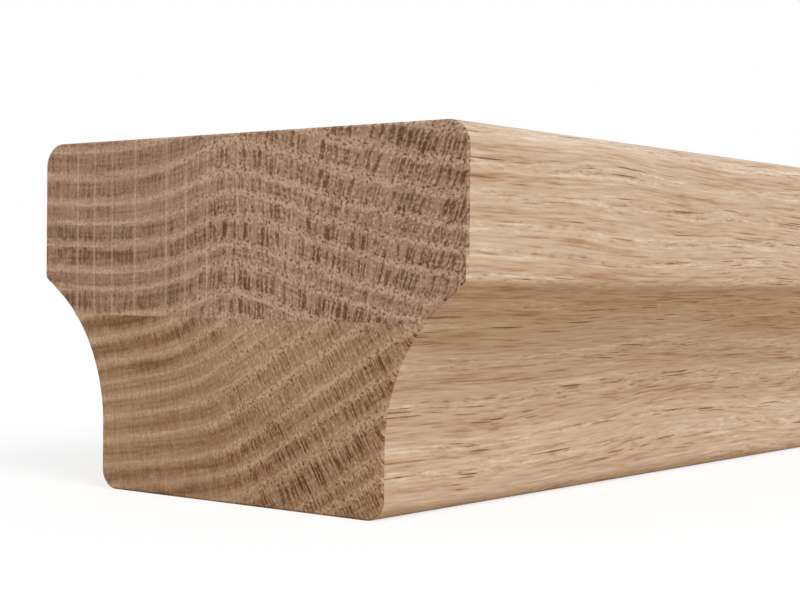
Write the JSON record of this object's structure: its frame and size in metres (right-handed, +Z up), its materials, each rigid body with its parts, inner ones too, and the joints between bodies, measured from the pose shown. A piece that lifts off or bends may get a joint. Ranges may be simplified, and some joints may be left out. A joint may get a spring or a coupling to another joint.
{
  "type": "wooden handrail",
  "caption": "Straight laminated oak handrail with a broad round-edged grip, a cove along each side and a narrower flat underside.",
  "frame": {"origin": "middle of the flat underside, halfway along the rail", "axes": "+X along the rail, +Y across it, +Z up through the grip"},
  "size_m": [1, 0.07, 0.045],
  "materials": {
    "oak_upper_board": "sanded, unfinished oak with sawn end grain",
    "oak_lower_board": "sanded, unfinished oak with sawn end grain"
  },
  "bodies": {
    "root": {"upper_board": "oak_upper_board", "lower_board": "oak_lower_board"}
  },
  "joints": []
}
